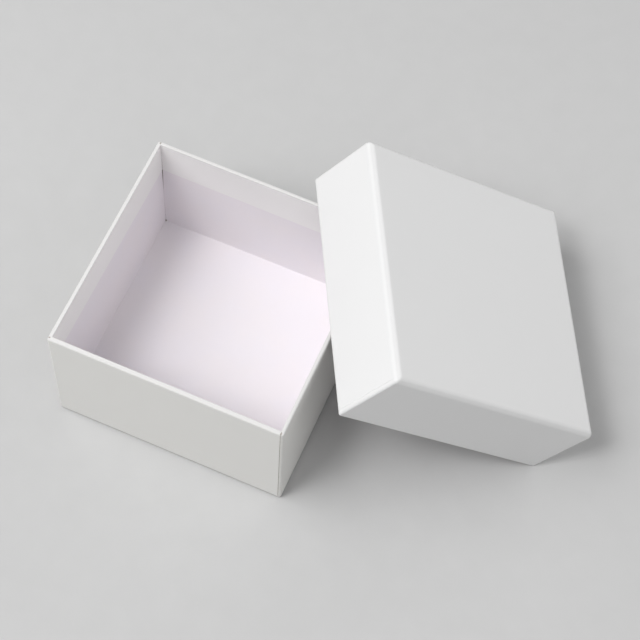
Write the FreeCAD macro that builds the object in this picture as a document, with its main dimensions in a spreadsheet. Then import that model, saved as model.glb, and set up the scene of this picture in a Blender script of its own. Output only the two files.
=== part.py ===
# Jewelry gift box: a rigid two-piece box of paper-wrapped greyboard. The base
# stands open and the lid leans on its rim, mouth down. All sizes in millimetres.
#
# Frame: origin at the middle of the base's underside, +X to the right, +Y to the
# back, +Z up. Both halves are built alike as trays, open side up, about their own
# middle, and the lid's Placement turns it over and leans it on the base.

import FreeCAD, Part
import os
import Sketcher

doc = FreeCAD.newDocument("jewelry_gift_box")

# ---------------------------------------------------------------- dimensions

SIZES = [
    ("base_width", 85.5, "base, outside, both ways"),
    ("base_height", 53.5, "base, outside, foot to rim"),
    ("lid_height", 29.7, "lid, outside, panel to rim"),
    ("lid_clearance", 0.97, "air between the closed lid's walls and the base, each side"),
    ("board", 1.0, "greyboard"),
    ("wrap", 0.15, "wrapping paper"),
    ("lining", 0.12, "lining paper laminated to the board"),
    ("tape", 0.1, "stay tape, pressed flush into the board"),
    ("tape_leg", 11.0, "stay tape, reach along each wall from the corner"),
    ("tape_margin", 2.5, "board left bare above and below a stay tape"),
    ("turn_in", 17.0, "wrap turned in over the rim, depth down the inside"),
    ("corner_radius", 0.8, "upright outside corners"),
    ("base_fold_radius", 1.2, "fold between the base's panel and its walls, outside"),
    ("lid_fold_radius", 2.2, "fold between the lid's panel and its walls, outside"),
    ("rim_radius", 0.5, "outside edge of the rim"),
    ("corner_slit", 0.2, "slit between neighbouring walls of the folded blank"),
    ("lid_turn", 28.3, "degrees, leaning lid turned about the upright axis"),
    ("corner_reach", 21.1, "base's back right corner in past the lid's resting edge"),
    ("rim_shift", 24.4, "the same corner from the middle of that edge, to the back"),
    ("rest_gap", 0.03, "hair of air between the leaning lid and the base's rim"),
]

sheet = doc.addObject("Spreadsheet::Sheet", "sizes")
for row, (alias, value, note) in enumerate(SIZES, start=1):
    sheet.set("A%d" % row, note)
    sheet.set("B%d" % row, str(value))
    sheet.setAlias("B%d" % row, alias)
doc.recompute()

# Layers through a wall, from the outside in
BOARD_OUT = "sizes.wrap"
BOARD_IN = "(sizes.wrap + sizes.board)"
LINING_IN = "(sizes.wrap + sizes.board + sizes.lining)"
WALL = "(2 * sizes.wrap + sizes.board + sizes.lining)"
LID_WIDTH = "(sizes.base_width + 2 * (sizes.lid_clearance + %s))" % WALL

# ---------------------------------------------------------------- helpers


def bind(obj, **expressions):
    for name, expression in expressions.items():
        obj.setExpression(name, expression)


def edge_names(shape, wanted):
    return ["Edge%d" % number for number, edge in enumerate(shape.Edges, start=1) if wanted(edge)]


def is_upright(edge):
    first, last = edge.Vertexes[0].Point, edge.Vertexes[-1].Point
    return abs(first.x - last.x) + abs(first.y - last.y) < 1e-6 and abs(first.z - last.z) > 1e-6


def is_level_at(z):
    return lambda edge: all(abs(vertex.Z - z) < 1e-6 for vertex in edge.Vertexes)


def round_off(body, base, radius, wanted):
    """Fillet the wanted edges of a body's last feature."""
    doc.recompute()
    fillet = body.newObject("PartDesign::Fillet", body.Name + "_round")
    fillet.Base = (base, edge_names(base.Shape, wanted))
    fillet.setExpression("Radius", radius)
    body.Tip = fillet
    return fillet


def square_block(name, side, bottom, top, corner=None, fold=None, rim=None):
    """Upright square block about the tray's middle, with rounded edges where given."""
    body = doc.addObject("PartDesign::Body", name)
    sketch = body.newObject("Sketcher::SketchObject", name + "_outline")
    ground = [plane for plane in body.Origin.OriginFeatures if plane.Role == "XY_Plane"][0]
    sketch.AttachmentSupport = [(ground, "")]
    sketch.MapMode = "FlatFace"
    sketch.setExpression("AttachmentOffset.Base.z", bottom)
    reach = 40.0
    ends = [(-reach, -reach), (reach, -reach), (reach, reach), (-reach, reach)]
    points = [FreeCAD.Vector(x, y, 0) for x, y in ends]
    for number in range(4):
        sketch.addGeometry(Part.LineSegment(points[number], points[(number + 1) % 4]), False)
    for number in range(4):
        sketch.addConstraint(Sketcher.Constraint("Coincident", number, 2, (number + 1) % 4, 1))
    for number, direction in enumerate(["Horizontal", "Vertical", "Horizontal", "Vertical"]):
        sketch.addConstraint(Sketcher.Constraint(direction, number))
    sketch.addConstraint(Sketcher.Constraint("Symmetric", 0, 1, 2, 1, -1, 1))
    for line, kind in ((0, "DistanceX"), (1, "DistanceY")):
        index = sketch.addConstraint(Sketcher.Constraint(kind, line, 1, line, 2, 2 * reach))
        sketch.renameConstraint(index, kind.lower())
        sketch.setExpression("Constraints." + kind.lower(), side)
    pad = body.newObject("PartDesign::Pad", name + "_pad")
    pad.Profile = sketch
    pad.setExpression("Length", "%s - (%s)" % (top, bottom))
    body.Tip = pad
    last = pad
    if corner:
        last = round_off(body, last, corner, is_upright)
    if fold:
        last = round_off(body, last, fold, is_level_at(pad.Shape.BoundBox.ZMin))
    if rim:
        last = round_off(body, last, rim, is_level_at(pad.Shape.BoundBox.ZMax))
    doc.recompute()
    return body


def combine(kind, name, base, tool):
    """Cut, Fuse or Common of two objects."""
    result = doc.addObject("Part::" + kind, name)
    result.Base = base
    result.Tool = tool
    return result


def corner_box(name, side, sign_x, sign_y, bottom, top):
    """Box over one upright corner, as wide as a stay tape reaches."""
    box = doc.addObject("Part::Box", name)
    bind(box, Length="sizes.tape_leg", Width="sizes.tape_leg", Height="%s - (%s)" % (top, bottom))
    corner = {-1: "-%s / 2 + %s", 1: "%s / 2 - %s - sizes.tape_leg"}
    box.setExpression("Placement.Base.x", corner[sign_x] % (side, BOARD_OUT))
    box.setExpression("Placement.Base.y", corner[sign_y] % (side, BOARD_OUT))
    box.setExpression("Placement.Base.z", bottom)
    return box


def diagonal_plate(name, side, angle, bottom, top):
    """Thin upright plate along one diagonal of the tray: it parts the walls at two corners."""
    plate = doc.addObject("Part::Box", name)
    length = "1.5 * %s" % side
    bind(plate, Length=length, Width="sizes.corner_slit", Height="%s - (%s)" % (top, bottom))
    turned = {"half": "%s / 2" % length, "cosine": "cos(%d deg)" % angle, "sine": "sin(%d deg)" % angle}
    start_x = "-{half} * {cosine} + sizes.corner_slit / 2 * {sine}".format(**turned)
    start_y = "-{half} * {sine} - sizes.corner_slit / 2 * {cosine}".format(**turned)
    plate.Placement = FreeCAD.Placement(FreeCAD.Vector(), FreeCAD.Rotation(angle, 0, 0))
    plate.setExpression("Placement.Base.x", start_x)
    plate.setExpression("Placement.Base.y", start_y)
    plate.setExpression("Placement.Base.z", bottom)
    return plate


CORNERS = {"front_left": (-1, -1), "front_right": (1, -1), "back_right": (1, 1), "back_left": (-1, 1)}


def tray(name, side, height, fold):
    """One half of the box, open side up: board, lining, four stay tapes and wrap."""
    board_top = "%s - sizes.wrap" % height
    above = "%s + 1" % height
    outside = square_block(
        name + "_outside", side, "0", height, "sizes.corner_radius", fold, "sizes.rim_radius"
    )
    core = square_block(
        name + "_core", "%s - 2 * %s" % (side, BOARD_OUT), "sizes.wrap", board_top,
        "sizes.corner_radius - sizes.wrap", fold + " - sizes.wrap", "sizes.rim_radius - sizes.wrap",
    )
    hollow = square_block(name + "_hollow", "%s - 2 * %s" % (side, BOARD_IN), BOARD_IN, above)
    lined = square_block(name + "_lined", "%s - 2 * %s" % (side, BOARD_IN), BOARD_IN, board_top)
    room = square_block(name + "_room", "%s - 2 * %s" % (side, LINING_IN), LINING_IN, above)
    slits = combine(
        "Fuse", name + "_slits",
        diagonal_plate(name + "_slit_rising", side, 45, LINING_IN, above),
        diagonal_plate(name + "_slit_falling", side, -45, LINING_IN, above),
    )

    # Stay tapes: the board's outermost skin at each upright corner, clear of fold and rim
    under_tape = square_block(
        name + "_under_tape", "%s - 2 * (%s + sizes.tape)" % (side, BOARD_OUT), "-1", above,
        "sizes.corner_radius - sizes.wrap - sizes.tape",
    )
    skin = combine("Cut", name + "_skin", core, under_tape)
    tape_bottom = "%s + sizes.tape_margin" % fold
    tape_top = "%s - sizes.rim_radius - sizes.tape_margin" % height
    boxes = []
    tapes = []
    for corner, (sign_x, sign_y) in CORNERS.items():
        label = "%s_corner_tape_%s" % (name, corner)
        boxes.append(corner_box(label + "_box", side, sign_x, sign_y, tape_bottom, tape_top))
        tapes.append(combine("Common", label, skin, boxes[-1]))
    all_boxes = doc.addObject("Part::MultiFuse", name + "_tape_boxes")
    all_boxes.Shapes = boxes
    seats = combine("Common", name + "_tape_seats", skin, all_boxes)

    # Board: one blank, its walls folded up from the panel and parted at the corners
    folded = combine("Cut", name + "_folded", core, hollow)
    parted = combine("Cut", name + "_parted", folded, slits)
    board = combine("Cut", name + "_board", parted, seats)

    # Lining: laminated to the blank's inner face, so it is parted at the same corners
    sheet_in = combine("Cut", name + "_sheet_in", lined, room)
    lining = combine("Cut", name + "_lining", sheet_in, slits)

    # Wrap: one sheet under the panel, up the walls, over the rim and down the inside
    closed = combine("Cut", name + "_closed", outside, core)
    mouth = square_block(name + "_mouth", "%s - 2 * %s" % (side, WALL), "%s / 2" % height, above)
    over_rim = combine("Cut", name + "_over_rim", closed, mouth)
    edge_in = "%s - sizes.turn_in" % height
    band_out = square_block(name + "_band_out", "%s - 2 * %s" % (side, LINING_IN), edge_in, board_top)
    band_in = square_block(name + "_band_in", "%s - 2 * %s" % (side, WALL), edge_in, above)
    band = combine("Cut", name + "_band", band_out, band_in)
    wrap = combine("Fuse", name + "_wrap", over_rim, band)
    return [board, lining, wrap] + tapes


# ---------------------------------------------------------------- the two halves

base_parts = tray("base", "sizes.base_width", "sizes.base_height", "sizes.base_fold_radius")
lid_parts = tray("lid", LID_WIDTH, "sizes.lid_height", "sizes.lid_fold_radius")

# The leaning lid. Its right rim stands on the table on the rim's rounded edge, and
# the inside edge of its left rim lies across two rims of the base, at the back right
# corner, so the lean follows from the base's height and the lid's width:
#   across * sin(lean) - rim_radius * cos(lean) = rise
ACROSS = "(%s - %s - sizes.rim_radius)" % (LID_WIDTH, WALL)
RISE = "(sizes.base_height + sizes.rest_gap - sizes.rim_radius)"
CORNER_TURN = "atan(sizes.rim_radius / %s)" % ACROSS
LEAN = "(asin(%s / sqrt(%s ^ 2 + sizes.rim_radius ^ 2)) + %s)" % (RISE, ACROSS, CORNER_TURN)
HALF_IN = "(%s / 2 - %s)" % (LID_WIDTH, WALL)

# Middle of the lid's mouth: along and across the resting edge from the base's corner
FORWARD = "(%s * cos(%s) - sizes.corner_reach)" % (HALF_IN, LEAN)
MOUTH_X = "sizes.base_width / 2 + %s * cos(TURN) + sizes.rim_shift * sin(TURN)" % FORWARD
MOUTH_Y = "sizes.base_width / 2 + %s * sin(TURN) - sizes.rim_shift * cos(TURN)" % FORWARD
MOUTH_Z = "sizes.base_height + sizes.rest_gap - %s * sin(%s)" % (HALF_IN, LEAN)

# The tray's own origin is the middle of its panel, lid_height above the mouth
PANEL_X = "%s + sizes.lid_height * sin(%s) * cos(TURN)" % (MOUTH_X, LEAN)
PANEL_Y = "%s + sizes.lid_height * sin(%s) * sin(TURN)" % (MOUTH_Y, LEAN)
PANEL_Z = "%s + sizes.lid_height * cos(%s)" % (MOUTH_Z, LEAN)
LID_PLACE = "placement(vector(%s; %s; %s); rotation(TURN; %s; 180))" % (PANEL_X, PANEL_Y, PANEL_Z, LEAN)

for piece in lid_parts:
    piece.setExpression("Placement", LID_PLACE.replace("TURN", "(sizes.lid_turn * 1 deg)"))
doc.recompute()

# ---------------------------------------------------------------- checks and export

for obj in doc.Objects:
    if "Invalid" in obj.State or "Error" in obj.State:
        raise RuntimeError("%s did not compute: %s" % (obj.Label, obj.State))

os.makedirs("parts", exist_ok=True)
for piece in base_parts + lid_parts:
    if piece.Shape.isNull() or not piece.Shape.isValid() or len(piece.Shape.Solids) != 1:
        raise RuntimeError("%s has no single valid solid" % piece.Label)
    piece.Shape.exportStep("parts/%s.step" % piece.Label)
    box = piece.Shape.BoundBox
    print("%-32s %9.2f mm3  z %.2f to %.2f" % (piece.Label, piece.Shape.Volume, box.ZMin, box.ZMax))
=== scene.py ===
import math
import random

import bmesh
import bpy
from mathutils import Matrix, Quaternion, Vector


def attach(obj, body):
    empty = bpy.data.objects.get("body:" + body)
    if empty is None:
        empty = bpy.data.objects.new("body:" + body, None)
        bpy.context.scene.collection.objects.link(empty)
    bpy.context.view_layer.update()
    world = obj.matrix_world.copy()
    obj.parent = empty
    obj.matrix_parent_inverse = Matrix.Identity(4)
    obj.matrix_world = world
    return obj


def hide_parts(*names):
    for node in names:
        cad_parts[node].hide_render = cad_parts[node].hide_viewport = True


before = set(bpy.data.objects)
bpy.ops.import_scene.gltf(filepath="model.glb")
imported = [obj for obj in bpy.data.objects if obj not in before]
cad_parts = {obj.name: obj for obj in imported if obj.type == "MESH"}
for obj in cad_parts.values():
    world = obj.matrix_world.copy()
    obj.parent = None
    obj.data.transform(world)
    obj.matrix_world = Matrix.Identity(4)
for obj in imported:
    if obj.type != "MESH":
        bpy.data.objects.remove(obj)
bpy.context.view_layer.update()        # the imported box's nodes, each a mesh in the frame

mm = 0.001
hair = 0.01 * mm         # slack when a vertex is looked up by its place
speck = 0.001 * mm       # the same where points lie closer together
squarely = 0.9           # a direction with this much of an axis in it counts as that axis
leastTilt = 0.01         # a half that leans less than this stands level


def deselectAll():
    bpy.ops.object.select_all(action="DESELECT")


def choose(piece):
    deselectAll()
    piece.select_set(True)
    bpy.context.view_layer.objects.active = piece


def edit(piece):
    choose(piece)
    bpy.ops.object.mode_set(mode="EDIT")


def leaveEdit():
    bpy.ops.object.mode_set(mode="OBJECT")


# kind is verts, edges or faces; whatever passes the test is selected and counted
def pick(piece, kind, test):
    selectMode = {"verts": "VERT", "edges": "EDGE", "faces": "FACE"}[kind]
    bpy.ops.mesh.select_mode(type=selectMode)
    bpy.ops.mesh.select_all(action="DESELECT")
    mesh = bmesh.from_edit_mesh(piece.data)
    found = [part for part in getattr(mesh, kind) if test(part)]
    for part in found:
        part.select_set(True)
    mesh.select_flush_mode()
    bmesh.update_edit_mesh(piece.data)
    return len(found)


# puts one of a piece's materials on what is selected
def paintSelected(piece, slot):
    mesh = bmesh.from_edit_mesh(piece.data)
    for face in mesh.faces:
        if face.select:
            face.material_index = slot
    bmesh.update_edit_mesh(piece.data)


def middleOf(edge):
    return (edge.verts[0].co + edge.verts[1].co) / 2


def isUpright(edge):
    return abs((edge.verts[1].co - edge.verts[0].co).normalized().z) > squarely


def modify(piece, kind, **settings):
    modifier = piece.modifiers.new(kind.lower(), kind)
    for name, value in settings.items():
        setattr(modifier, name, value)
    choose(piece)
    bpy.ops.object.modifier_apply(modifier=modifier.name)


# A half of the box is modelled open side up about its own middle, as it is made, and is put
# in its place at the end. That place is read from the half's wrap in the frame.
def findTray(name, fold):
    corners = [v.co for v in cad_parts[name + "_wrap"].data.vertices]
    panel = max(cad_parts[name + "_wrap"].data.polygons, key=lambda face: face.area)
    middle = sum(corners, Vector()) / len(corners)
    opens = panel.normal.copy()                 # from the panel towards the open side
    if opens.dot(middle - panel.center) < 0:
        opens.negate()
    level = Vector((0, 0, 1)).cross(opens)
    level = level.normalized() if level.length > leastTilt else Vector((0, 1, 0))
    toTray = Matrix((level.cross(opens), level, opens))
    points = [toTray @ co for co in corners]
    low = Vector([min(p[i] for p in points) for i in range(3)])
    high = Vector([max(p[i] for p in points) for i in range(3)])
    foot = Vector(((low.x + high.x) / 2, (low.y + high.y) / 2, low.z))
    toWorld = toTray.transposed()
    return {
        "name": name,
        "half": (high.x - low.x) / 2,
        "height": high.z - low.z,
        "fold": fold,
        "toTray": toTray,
        "foot": foot,
        "place": Matrix.Translation(toWorld @ foot) @ toWorld.to_4x4(),
    }


# thickness of each layer of a wall, and what they add up to
layers = {"paper": 0.15 * mm, "board": 1.0 * mm, "lining": 0.12 * mm}
liningFace = layers["paper"] + layers["board"] + layers["lining"]
wall = liningFace + layers["paper"]

foldRadius = {"base": 1.2 * mm, "lid": 2.2 * mm}      # of the folds round each panel
baseTray = findTray("base", foldRadius["base"])
lidTray = findTray("lid", foldRadius["lid"])
print("trays found:", [round(2 * tray["half"] / mm, 2) for tray in (baseTray, lidTray)], "mm wide")


shadingSet = {"smoothBelow": math.radians(35), "weight": 100}


# shades a piece, moves it from its own middle to its half's place and hands it to the frame
def finish(piece, tray, slotName, *nodes):
    choose(piece)
    bpy.ops.object.shade_smooth_by_angle(angle=shadingSet["smoothBelow"])
    modify(piece, "WEIGHTED_NORMAL", keep_sharp=True, weight=shadingSet["weight"])
    piece.matrix_world = tray["place"]
    choose(piece)
    bpy.ops.object.transform_apply(location=True, rotation=True, scale=True)
    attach(piece, tray["name"])
    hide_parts(*nodes)


# Wrapping paper: under the panel, up the walls, over the rim and down the inside
wrapSet = {
    "corner": 0.8 * mm,        # roundness of the upright edges
    "rimOut": 0.65 * mm,       # roundness of the rim, outside and inside
    "rimIn": 0.22 * mm,
    "segments": 6,
    "mitre": 0.07 * mm,        # how far the turned-in flaps part at their lower corners
    "waves": 9,                # points along each turned-in edge
    "waveReach": 0.3 * mm,     # slack along the edge when such a point is looked up
    "waveSize": 0.06 * mm,
    "seamDepth": 0.1 * mm,
    "seamSlope": 0.02 * mm,
    "seamPast": 0.2 * mm,      # how far the slit over the rim runs past the wall
    "slitDrop": 0.3 * mm,      # and how far down it starts
    "slitWider": 2.4,          # over the rim the seam gapes
}

# where the flaps' seams lie, how far the front wall's band stands in, and how deep each
# corner's paper is turned in, in millimetres, from the front left corner round to the right
baseWrapSet = {"seamSide": 1, "seamFrom": 1.05 * mm, "seamWidth": 0.24 * mm, "swell": 0.2 * mm,
               "turnIns": (14.4, 16.0, 17.4, 16.2)}
lidWrapSet = {"seamSide": -1, "seamFrom": 1.7 * mm, "seamWidth": 0.16 * mm, "swell": 0.0,
              "turnIns": (15.2, 15.6, 16.2, 15.8)}


def makeWrap(tray, own):
    half, height, fold = tray["half"], tray["height"], tray["fold"]
    turnIns = [depth * mm for depth in own["turnIns"]]
    shallow = min(turnIns)
    inner = half - wall

    deselectAll()
    bpy.ops.mesh.primitive_cube_add(size=1, location=(0, 0, height / 2),
                                    scale=(2 * half, 2 * half, height))
    piece = bpy.context.object
    piece.name = tray["name"] + "WrapPaper"
    bpy.ops.object.transform_apply(location=True, rotation=True, scale=True)

    edit(piece)
    pick(piece, "faces", lambda f: f.normal.z > squarely)
    bpy.ops.mesh.inset(thickness=wall)
    bpy.ops.mesh.extrude_region_move(TRANSFORM_OT_translate={"value": (0, 0, -shallow)})
    bpy.ops.mesh.delete(type="ONLY_FACE")

    # the turned-in band is not cut quite true, so each corner has its own depth
    cut = height - shallow
    for (sideX, sideY), depth in zip(((-1, -1), (1, -1), (1, 1), (-1, 1)), turnIns):
        pick(piece, "verts", lambda v: abs(v.co.z - cut) < hair
             and v.co.x * sideX > 0 < v.co.y * sideY)
        bpy.ops.transform.translate(value=(0, 0, shallow - depth))

    def isInner(point):
        return max(abs(point.x), abs(point.y)) < inner + hair

    # its flaps meet at the rim and part towards their lower edge
    pick(piece, "edges", lambda e: isUpright(e) and isInner(middleOf(e)))
    bpy.ops.mesh.edge_split(type="EDGE")
    for axis in (0, 1):
        along = 1 - axis
        squeeze = [1, 1, 1]
        squeeze[along] = 1 - wrapSet["mitre"] / inner
        pick(piece, "verts", lambda v: height - 2 * hair > v.co.z > fold and isInner(v.co)
             and all(abs(f.normal[axis]) > squarely for f in v.link_faces))
        bpy.ops.transform.resize(value=squeeze, center_override=(0, 0, 0))

    # and the scissors wandered a little along that edge
    pick(piece, "edges", lambda e: height - 2 * hair > middleOf(e).z > fold
         and isInner(middleOf(e)) and not isUpright(e))
    bpy.ops.mesh.subdivide(number_cuts=wrapSet["waves"])
    step = 2 * inner / (wrapSet["waves"] + 1)
    wander = random.Random(tray["name"])
    for axis in (0, 1):
        for side in (-1, 1):
            for number in range(1, wrapSet["waves"] + 1):
                place = number * step - inner
                pick(piece, "verts", lambda v: height - hair > v.co.z > fold
                     and abs(v.co[axis] - side * inner) < hair
                     and abs(v.co[1 - axis] - place) < wrapSet["waveReach"])
                bpy.ops.transform.translate(value=(0, 0, wander.uniform(-1, 1) * wrapSet["waveSize"]))

    # the front wall's band stands further in
    pick(piece, "verts", lambda v: v.co.z > fold and isInner(v.co) and v.co.y < -inner + hair)
    bpy.ops.transform.translate(value=(0, own["swell"], 0))

    # one bevel rounds all the edges: each has its radius as a share of the fold's
    def weigh(radius, test):
        pick(piece, "edges", test)
        bpy.ops.transform.edge_bevelweight(value=radius / fold)

    def isOuter(point):
        return max(abs(point.x), abs(point.y)) > half - hair

    def isRim(edge):
        return middleOf(edge).z > height - hair

    weigh(wrapSet["corner"], lambda e: isUpright(e) and isOuter(middleOf(e)))
    weigh(fold, lambda e: middleOf(e).z < hair)
    weigh(wrapSet["rimOut"], lambda e: isRim(e) and isOuter(middleOf(e)) and not isUpright(e))
    weigh(wrapSet["rimIn"], lambda e: isRim(e) and isInner(middleOf(e)))
    leaveEdit()
    modify(piece, "BEVEL", width=fold, limit_method="WEIGHT", offset_type="OFFSET",
           segments=wrapSet["segments"], use_clamp_overlap=False)
    modify(piece, "SOLIDIFY", thickness=layers["paper"], offset=-1)

    # one seam by each upright corner, where a wall's flap laps round it; it runs on over the rim
    edit(piece)
    for quarter in range(4):
        toFront = Matrix.Rotation(-quarter * math.pi / 2, 3, "Z")
        across = toFront.transposed() @ Vector((1, 0, 0))
        seam = own["seamSide"] * (half - own["seamFrom"])

        def onWall(face):
            spot = toFront @ face.calc_center_median()
            high = spot.z > height - wrapSet["rimOut"] - hair
            return spot.y < -half + (wall + wrapSet["seamPast"] if high else hair) and spot.z > fold

        for edgeAt in (seam - own["seamWidth"] / 2, seam + own["seamWidth"] / 2):
            pick(piece, "faces", onWall)
            bpy.ops.mesh.bisect(plane_co=across * edgeAt, plane_no=across)

        def isSeam(face):
            spot = toFront @ face.calc_center_median()
            facing = toFront @ face.normal
            outwards = facing.z - facing.y > 0.5            # to the front or upwards
            return onWall(face) and abs(spot.x - seam) < own["seamWidth"] / 2 and outwards

        pick(piece, "faces", isSeam)
        bpy.ops.mesh.inset(thickness=wrapSet["seamSlope"], depth=-wrapSet["seamDepth"])
        # the seam's floor takes the second material, on the base a dark board that also paints the shade in
        # the seam
        paintSelected(piece, 1)

        def isSlit(vert):
            spot = toFront @ vert.co
            within = abs(spot.x - seam) < own["seamWidth"] / 2 + hair
            high = spot.z > height - wrapSet["slitDrop"]
            return within and high and spot.y < -inner + wrapSet["seamPast"]

        pick(piece, "verts", isSlit)
        gape = [1 + (wrapSet["slitWider"] - 1) * abs(part) for part in across]
        bpy.ops.transform.resize(value=gape, center_override=across * seam)
    leaveEdit()
    finish(piece, tray, "wrap_paper", tray["name"] + "_wrap")
    return piece


baseWrap = makeWrap(baseTray, baseWrapSet)
lidWrap = makeWrap(lidTray, lidWrapSet)
print("wraps made:", len(baseWrap.data.polygons), "and", len(lidWrap.data.polygons), "faces")

# Lining: one cross-shaped sheet, a floor and four flaps that stand up and part at the corners
liningSet = {
    "pinHole": 0.6 * mm,       # floor corners, cut off
    "shutFrom": 1.0 * mm,      # above the floor the flaps meet from here
    "shutTo": 0.42,            # to this share of the height, then they part
    "shutGap": 0.015 * mm,
    "openGap": 0.45 * mm,      # each flap's step back at the top
    "border": 1.2 * mm,        # ring of faces round the floor
    "crease": 0.25 * mm,       # roundness of the fold round the floor
    "segments": 3,
    "belowRim": 0.6 * mm,      # the flaps end under the wrap that is turned over the rim
}


def makeLining(tray):
    reach = tray["half"] - liningFace
    top = tray["height"] - liningSet["belowRim"]
    deselectAll()
    bpy.ops.mesh.primitive_plane_add(size=2 * reach, location=(0, 0, liningFace))
    piece = bpy.context.object
    piece.name = tray["name"] + "LiningPaper"
    bpy.ops.object.transform_apply(location=True, rotation=True, scale=True)

    edit(piece)
    pick(piece, "verts", lambda v: True)
    bpy.ops.mesh.bevel(offset=liningSet["pinHole"], affect="VERTICES")
    pick(piece, "faces", lambda f: True)
    bpy.ops.mesh.inset(thickness=liningSet["border"])
    pick(piece, "edges", lambda e: not e.is_boundary and e.calc_length() < mm
         and max(abs(middleOf(e).x), abs(middleOf(e).y)) < reach - liningSet["border"] / 2)
    bpy.ops.mesh.merge(type="COLLAPSE")
    pick(piece, "edges", lambda e: e.is_boundary and e.calc_length() > reach)
    bpy.ops.transform.edge_bevelweight(value=1)

    # levels of the flaps: how high, and how far short of the corner
    levels = (
        (liningFace + liningSet["shutFrom"], liningSet["shutGap"]),
        (liningFace + liningSet["shutTo"] * (top - liningFace), liningSet["shutGap"]),
        (top, liningSet["openGap"]),
    )
    height, short = liningFace, liningSet["pinHole"]
    for newHeight, newShort in levels:
        pick(piece, "edges", lambda e: e.is_boundary and abs(middleOf(e).z - height) < hair
             and e.calc_length() > reach)
        bpy.ops.mesh.extrude_edges_move(TRANSFORM_OT_translate={"value": (0, 0, newHeight - height)})
        for axis in (0, 1):
            stretch = [1, 1, 1]
            stretch[1 - axis] = (reach - newShort) / (reach - short)
            pick(piece, "verts", lambda v: abs(v.co.z - newHeight) < hair
                 and abs(v.co[axis]) > reach - speck
                 and abs(abs(v.co[1 - axis]) - (reach - short)) < speck)
            bpy.ops.transform.resize(value=stretch, center_override=(0, 0, newHeight))
        height, short = newHeight, newShort
    pick(piece, "faces", lambda f: True)
    bpy.ops.mesh.normals_make_consistent(inside=False)
    if pick(piece, "faces", lambda f: f.normal.z < -squarely):
        pick(piece, "faces", lambda f: True)
        bpy.ops.mesh.flip_normals()
    leaveEdit()
    modify(piece, "BEVEL", width=liningSet["crease"], limit_method="WEIGHT", offset_type="OFFSET",
           segments=liningSet["segments"], use_clamp_overlap=False)
    modify(piece, "SOLIDIFY", thickness=layers["lining"], offset=-1)
    finish(piece, tray, "lining_paper", tray["name"] + "_lining")
    return piece


baseLining = makeLining(baseTray)
lidLining = makeLining(lidTray)
print("linings made")


# A wire is a socket of a material's nodes. Arithmetic on it adds Math nodes.
class Wire:
    def __init__(self, tree, socket=None):
        self.tree = tree
        self.socket = socket

    # any node: its type, its settings, what goes into its sockets, and which output is wanted
    def node(self, kind, settings=None, sockets=None, output=0):
        made = self.tree.nodes.new(kind)
        for name, value in (settings or {}).items():
            setattr(made, name, value)
        for name, value in (sockets or {}).items():
            if isinstance(value, Wire):
                self.tree.links.new(value.socket, made.inputs[name])
            else:
                made.inputs[name].default_value = value
        return Wire(self.tree, made.outputs[output]) if len(made.outputs) else None

    def math(self, operation, *values):
        return self.node("ShaderNodeMath", {"operation": operation}, dict(enumerate(values)))

    def __add__(self, other):
        return self.math("ADD", self, other)

    def __radd__(self, other):
        return self.math("ADD", other, self)

    def __sub__(self, other):
        return self.math("SUBTRACT", self, other)

    def __rsub__(self, other):
        return self.math("SUBTRACT", other, self)

    def __mul__(self, other):
        return self.math("MULTIPLY", self, other)

    def __rmul__(self, other):
        return self.math("MULTIPLY", other, self)

    def __abs__(self):
        return self.math("ABSOLUTE", self)

    def low(self, other):
        return self.math("MINIMUM", self, other)

    def top(self, other):
        return self.math("MAXIMUM", self, other)

    # 0 at or below start, 1 at or above end, smooth between
    def between(self, start, end):
        return self.node("ShaderNodeMapRange", {"interpolation_type": "SMOOTHSTEP"}, {
            "Value": self, "From Min": start, "From Max": end})

    # the three parts of a place
    def parts(self):
        apart = self.node("ShaderNodeSeparateXYZ", {}, {"Vector": self}).socket.node
        return [Wire(self.tree, part) for part in apart.outputs]

    # the materials below give a noise as its scale, detail, roughness and stretch
    def noise(self, scale, detail=4.0, rough=0.55, stretch=(1, 1, 1)):
        place = self.node("ShaderNodeMapping", {}, {"Vector": self, "Scale": stretch})
        return self.node("ShaderNodeTexNoise", {}, {
            "Vector": place, "Scale": scale, "Detail": detail, "Roughness": rough})

    # sockets 6 and 7 are the colours that go in, and 2 is the one that comes out
    def blend(self, factor, one, other):
        return self.node("ShaderNodeMix", {"data_type": "RGBA"}, {0: factor, 6: one, 7: other}, 2)


def newMaterial(name):
    material = bpy.data.materials.new(name)
    material.use_nodes = True
    material.node_tree.nodes.clear()
    return material, Wire(material.node_tree)


def tone(colour, factor=1.0):
    return tuple(part * factor for part in colour) + (1,)


# Shading ends in one shader: what varies is wired, the rest is set on its own socket.
# The height of the relief is in metres.
def closeMaterial(wire, colour, rough, height, gloss):
    bump = wire.node("ShaderNodeBump", {}, {"Height": height, "Distance": 1.0, "Strength": 1.0})
    shader = wire.node("ShaderNodeBsdfPrincipled", {}, {
        "Base Color": colour, "Roughness": rough, "Normal": bump, "Specular IOR Level": gloss})
    wire.node("ShaderNodeOutputMaterial", {}, {"Surface": shader})


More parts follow.
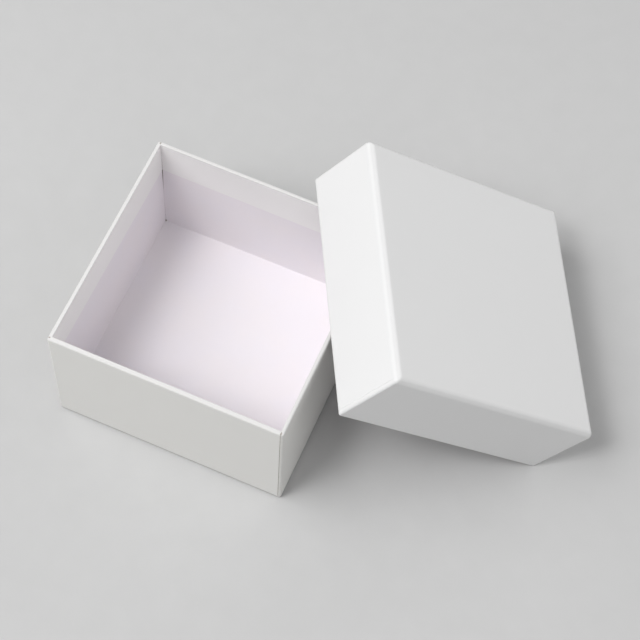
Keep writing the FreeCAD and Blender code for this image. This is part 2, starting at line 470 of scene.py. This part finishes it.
wrapPaperSet = {
    "dark": 0.93,              # the colour wanders between these shares of itself
    "light": 1.07,
    "mottle": 0.09,            # how much of that range the clouds take up
    "grainShade": 0.03,
    "cloud": (90, 5),
    "grain": (2600, 3, 0.7),
    "strands": (900, 2, 0.6, (1, 0.35, 1)),
    "slow": (55, 1),
    "rough": 0.62,
    "roughMottle": 0.12,
    "roughWorn": 0.15,
    "gloss": 0.35,
    "fibre": 0.008 * mm,       # height of the paper's grain
    "ripple": 0.06 * mm,       # slow unevenness of glued paper
    "edgeFrom": 0.1 * mm,      # worn paper and painted shade are full this near to a fold's edge
    "wearWidth": 1.3 * mm,     # and gone from here on
    "wearAndShade": 0.3,
    "wearSpots": (420, 3),
    "wearFrom": 0.3,
    "wearTo": 0.6,
    "paler": (0.864, 0.853, 0.85),      # the turned-in band and the rim are made paler
    "palerFrom": 0.5,          # it begins between these shares of the wall's thickness
    "palerTo": 0.9,
    "palerFoot": 1.5,          # and only above this many times that thickness
    "darkenedTone": 0.3,            # tone where the foot's painted shadow and the rim's darkening are full
    "footShadowFrom": 0.6 * mm,     # the foot's painted shadow, where the box meets the table, is full below here
    "footShadowTo": 1.4 * mm,       # and gone from here up
    "rimFrom": 0.1 * mm,       # the rim's tone is full this far down
    "rimTo": 0.6 * mm,         # and gone from here down
}

# each half's colour, how much painted shade dims the highlight along its folds, how much painted shadow
# darkens the edge it stands on, and how much darker its rim is made
basePaperSet = {"colour": (0.812, 0.806, 0.782), "foldPaintedShade": 0.1, "footPaintedShadow": 0.75, "rimDarken": 0.28}
lidPaperSet = {"colour": (0.764, 0.764, 0.764), "foldPaintedShade": 0.55, "footPaintedShadow": 0.0, "rimDarken": 0.0}


# White uncoated paper. The worn spots, the painted shade along the folds, the painted shadow along the foot
# and the darker rim follow the tray's edges, so the pattern is laid out in the tray's own axes.
def makeWrapPaper(name, tray, own):
    material, wire = newMaterial(name)
    raw = wire.node("ShaderNodeTexCoord", {}, {}, "Object")
    turned = tray["toTray"].to_euler("XYZ")
    place = wire.node("ShaderNodeMapping", {"vector_type": "POINT"}, {
        "Vector": raw, "Rotation": turned, "Location": -tray["foot"]})
    x, y, z = place.parts()
    fromX = tray["half"] - abs(x)
    fromY = tray["half"] - abs(y)
    fromRim = tray["height"] - z
    near = fromX.low(fromY).top(fromX.top(fromY).low(z.low(fromRim)))     # to the nearest outer edge
    cloud = place.noise(*wrapPaperSet["cloud"])
    grain = place.noise(*wrapPaperSet["grain"])
    strands = place.noise(*wrapPaperSet["strands"])
    spots = place.noise(*wrapPaperSet["wearSpots"])
    spots = spots.between(wrapPaperSet["wearFrom"], wrapPaperSet["wearTo"])
    edge = 1 - near.between(wrapPaperSet["edgeFrom"], wrapPaperSet["wearWidth"])
    worn = edge * spots
    shade = 0.5 + (cloud - 0.5) * wrapPaperSet["mottle"] + (grain - 0.5) * wrapPaperSet["grainShade"]
    # the folds are darkened along their edges, a painted shade that dims their highlight, and their worn
    # spots darker still, partly worn paper and partly painted shade
    shade = shade - worn * wrapPaperSet["wearAndShade"] - edge * own["foldPaintedShade"]
    dark, light = (tone(own["colour"], wrapPaperSet[end]) for end in ("dark", "light"))
    outside = wire.blend(shade, dark, light)
    # painted shadow where the base's foot meets the table, on the base only
    footShadowMask = 1 - z.between(wrapPaperSet["footShadowFrom"], wrapPaperSet["footShadowTo"])
    atRim = 1 - fromRim.between(wrapPaperSet["rimFrom"], wrapPaperSet["rimTo"])
    turnedIn = fromX.low(fromY).between(wrapPaperSet["palerFrom"] * wall, wrapPaperSet["palerTo"] * wall)
    turnedIn = turnedIn * z.between(wall, wrapPaperSet["palerFoot"] * wall)
    colour = wire.blend(turnedIn.top(atRim), outside, tone(wrapPaperSet["paler"]))
    # the foot's painted shadow and the rim's darkening pull the colour towards a darker tone
    footShadowAndDarkRim = footShadowMask * own["footPaintedShadow"] + atRim * own["rimDarken"]
    colour = wire.blend(footShadowAndDarkRim, colour, tone(own["colour"], wrapPaperSet["darkenedTone"]))
    rough = wrapPaperSet["rough"] + (cloud - 0.5) * wrapPaperSet["roughMottle"]
    rough = rough + worn * wrapPaperSet["roughWorn"]
    slow = place.noise(*wrapPaperSet["slow"])
    height = (grain + strands) * wrapPaperSet["fibre"] + slow * wrapPaperSet["ripple"]
    closeMaterial(wire, colour, rough, height, wrapPaperSet["gloss"])
    return material


liningPaperSet = {
    "colour": (0.818, 0.786, 0.822),
    "warm": (0.826, 0.787, 0.810),
    "cloud": (60, 4),
    "cloudFrom": 0.35,
    "cloudTo": 0.65,
    "cloudShade": 0.8,
    "grain": (2200, 3, 0.7),
    "grainShade": 0.3,
    "strands": (800, 2, 0.6, (1, 1, 0.3)),
    "rough": 0.7,
    "roughMottle": 0.15,
    "gloss": 0.3,
    "fibre": 0.01 * mm,
}


# Matt lilac-white paper, a little warmer in slow clouds
def makeLiningPaper(name):
    material, wire = newMaterial(name)
    place = wire.node("ShaderNodeTexCoord", {}, {}, "Object")
    cloud = place.noise(*liningPaperSet["cloud"])
    grain = place.noise(*liningPaperSet["grain"])
    strands = place.noise(*liningPaperSet["strands"])
    shade = cloud.between(liningPaperSet["cloudFrom"], liningPaperSet["cloudTo"])
    shade = shade * liningPaperSet["cloudShade"] + (grain - 0.5) * liningPaperSet["grainShade"]
    colour = wire.blend(shade, tone(liningPaperSet["colour"]), tone(liningPaperSet["warm"]))
    rough = liningPaperSet["rough"] + (cloud - 0.5) * liningPaperSet["roughMottle"]
    closeMaterial(wire, colour, rough, (grain + strands) * liningPaperSet["fibre"], liningPaperSet["gloss"])
    return material


greyboardSet = {
    "light": (0.46, 0.43, 0.39),
    "dark": (0.24, 0.22, 0.20),
    "pulp": (500, 5, 0.65),
    "pulpShade": 0.7,
    "flecks": (1600, 2, 0.5, (1, 1, 0.4)),
    "fleckFrom": 0.62,
    "fleckTo": 0.7,
    "fleckShade": 0.6,
    "rough": 0.9,
    "roughMottle": 0.15,
    "gloss": 0.2,
    "fibre": 0.03 * mm,
}


# Recycled board: mixed grey pulp with darker flecks
def makeGreyboard(name):
    material, wire = newMaterial(name)
    place = wire.node("ShaderNodeTexCoord", {}, {}, "Object")
    pulp = place.noise(*greyboardSet["pulp"])
    flecks = place.noise(*greyboardSet["flecks"])
    flecks = flecks.between(greyboardSet["fleckFrom"], greyboardSet["fleckTo"])
    shade = 1 - (pulp * greyboardSet["pulpShade"] + flecks * greyboardSet["fleckShade"])
    colour = wire.blend(shade, tone(greyboardSet["dark"]), tone(greyboardSet["light"]))
    rough = greyboardSet["rough"] + (pulp - 0.5) * greyboardSet["roughMottle"]
    closeMaterial(wire, colour, rough, pulp * greyboardSet["fibre"], greyboardSet["gloss"])
    return material


stayTapeSet = {
    "light": (0.60, 0.47, 0.31),
    "dark": (0.42, 0.31, 0.19),
    "fibres": (700, 4, 0.6, (1, 1, 0.15)),
    "ribs": {"Scale": 260, "Distortion": 1.5, "Detail": 2},
    "rough": 0.6,
    "roughMottle": 0.2,
    "gloss": 0.3,
    "rib": 0.02 * mm,          # height of a rib
}


# Kraft stay tape, faintly ribbed
def makeStayTape(name):
    material, wire = newMaterial(name)
    place = wire.node("ShaderNodeTexCoord", {}, {}, "Object")
    fibres = place.noise(*stayTapeSet["fibres"])
    ribs = wire.node("ShaderNodeTexWave", {"bands_direction": "Z"}, {
        "Vector": place, **stayTapeSet["ribs"]})
    colour = wire.blend(fibres, tone(stayTapeSet["dark"]), tone(stayTapeSet["light"]))
    rough = stayTapeSet["rough"] + (fibres - 0.5) * stayTapeSet["roughMottle"]
    closeMaterial(wire, colour, rough, ribs * stayTapeSet["rib"], stayTapeSet["gloss"])
    return material


tableSet = {
    "size": 6,                 # metres each way
    "colour": (0.526, 0.526, 0.526),
    "dark": 0.96,              # the colour wanders between these shares of itself
    "light": 1.04,
    "cloud": (14, 4),
    "cloudShade": 0.5,
    "mottle": (110, 3),
    "mottleShade": 0.6,
    "grain": (1200, 4, 0.7),
    "grainShade": 0.35,
    "rough": 0.85,
    "roughGrain": 0.1,
    "gloss": 0.2,
    "fibre": 0.02 * mm,
}


# Pale mottled paper under the box
def makeTablePaper(name):
    material, wire = newMaterial(name)
    place = wire.node("ShaderNodeTexCoord", {}, {}, "Object")
    cloud = place.noise(*tableSet["cloud"])
    grain = place.noise(*tableSet["grain"])
    mottle = place.noise(*tableSet["mottle"])
    shade = (cloud - 0.5) * tableSet["cloudShade"] + (mottle - 0.5) * tableSet["mottleShade"]
    shade = shade + (grain - 0.5) * tableSet["grainShade"] + 0.5
    dark, light = (tone(tableSet["colour"], tableSet[end]) for end in ("dark", "light"))
    colour = wire.blend(shade, dark, light)
    rough = tableSet["rough"] + (grain - 0.5) * tableSet["roughGrain"]
    closeMaterial(wire, colour, rough, grain * tableSet["fibre"], tableSet["gloss"])
    return material


# fills a piece's material slots in turn, and adds those that it lacks
def cover(piece, *materials):
    for number, material in enumerate(materials):
        if number < len(piece.material_slots):
            piece.material_slots[number].material = material
        else:
            piece.data.materials.append(material)


liningPaper = makeLiningPaper("liningPaper")
greyboard = makeGreyboard("greyboard")
stayTape = makeStayTape("stayTape")
# the second material is what shows in the seams: on the base, dark bare board, which also paints the shade
# in the seam; paper on the lid
cover(baseWrap, makeWrapPaper("wrapPaperBase", baseTray, basePaperSet), greyboard)
lidPaper = makeWrapPaper("wrapPaperLid", lidTray, lidPaperSet)
cover(lidWrap, lidPaper, lidPaper)
for piece in (baseLining, lidLining):
    cover(piece, liningPaper)
for name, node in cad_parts.items():
    if name.endswith("_board"):
        cover(node, greyboard)
    elif "_corner_tape_" in name:
        cover(node, stayTape)
    else:
        cover(node, liningPaper)
print("materials made")

deselectAll()
bpy.ops.mesh.primitive_plane_add(size=tableSet["size"], location=(0, 0, 0))
table = bpy.context.object
table.name = "table"
cover(table, makeTablePaper("tablePaper"))

studioSet = {
    "colour": (1, 1, 1),
    "strength": 0.24,
    "lampAim": (35 * mm, 30 * mm, 20 * mm),
    "lampDistance": 1.4,       # metres
}

scene = bpy.context.scene
scene.view_settings.view_transform = "Standard"
world = bpy.data.worlds.new("studio")
scene.world = world
world.use_nodes = True
backdrop = world.node_tree.nodes["Background"]
backdrop.inputs["Color"].default_value = tone(studioSet["colour"])
backdrop.inputs["Strength"].default_value = studioSet["strength"]


# unit vector towards an azimuth, counted from the front to the right, and an elevation
def towards(azimuth, elevation):
    turn, rise = math.radians(azimuth), math.radians(elevation)
    return Vector((math.sin(turn) * math.cos(rise), -math.cos(turn) * math.cos(rise), math.sin(rise)))


# each lamp: azimuth, elevation, size in metres, power in watts
lamps = {
    "windowLamp": (-60, 55, 1.2, 13.3),
    "leftLamp": (-90, 15, 1.2, 1.4),
    "topLamp": (-35, 60, 0.4, 4.1),
    "frontLamp": (45, 55, 1.2, 3.25),
    "rightLamp": (105, 35, 1.2, 3.0),
    "backLamp": (165, 15, 1.2, 5.0),
}

for name, (azimuth, elevation, size, power) in lamps.items():
    lamp = bpy.data.lights.new(name, "AREA")
    lamp.shape = "DISK"
    lamp.size = size
    lamp.energy = power
    holder = bpy.data.objects.new(name, lamp)
    scene.collection.objects.link(holder)
    away = towards(azimuth, elevation)
    holder.location = Vector(studioSet["lampAim"]) + away * studioSet["lampDistance"]
    holder.rotation_mode = "QUATERNION"
    holder.rotation_quaternion = away.to_track_quat("Z", "Y")

cameraSet = {
    "azimuth": 19.30,          # degrees, as are the next two
    "elevation": 62.58,
    "roll": 4.55,
    "distance": 0.6816,        # metres
    "aim": (27.57 * mm, 27.35 * mm, 0),
    "lens": 104.68,            # millimetres, as is the sensor
    "sensor": 36,
    "nearest": 0.01,           # metres that it sees from and to
    "farthest": 20,
}
lens = bpy.data.cameras.new("productCamera")
lens.lens = cameraSet["lens"]
lens.sensor_width = cameraSet["sensor"]
lens.clip_start = cameraSet["nearest"]
lens.clip_end = cameraSet["farthest"]
camera = bpy.data.objects.new("productCamera", lens)
scene.collection.objects.link(camera)
away = towards(cameraSet["azimuth"], cameraSet["elevation"])
camera.location = Vector(cameraSet["aim"]) + away * cameraSet["distance"]
camera.rotation_mode = "QUATERNION"
roll = Quaternion((0, 0, 1), math.radians(cameraSet["roll"]))
camera.rotation_quaternion = away.to_track_quat("Z", "Y") @ roll
scene.camera = camera
print("table, lamps and camera set")
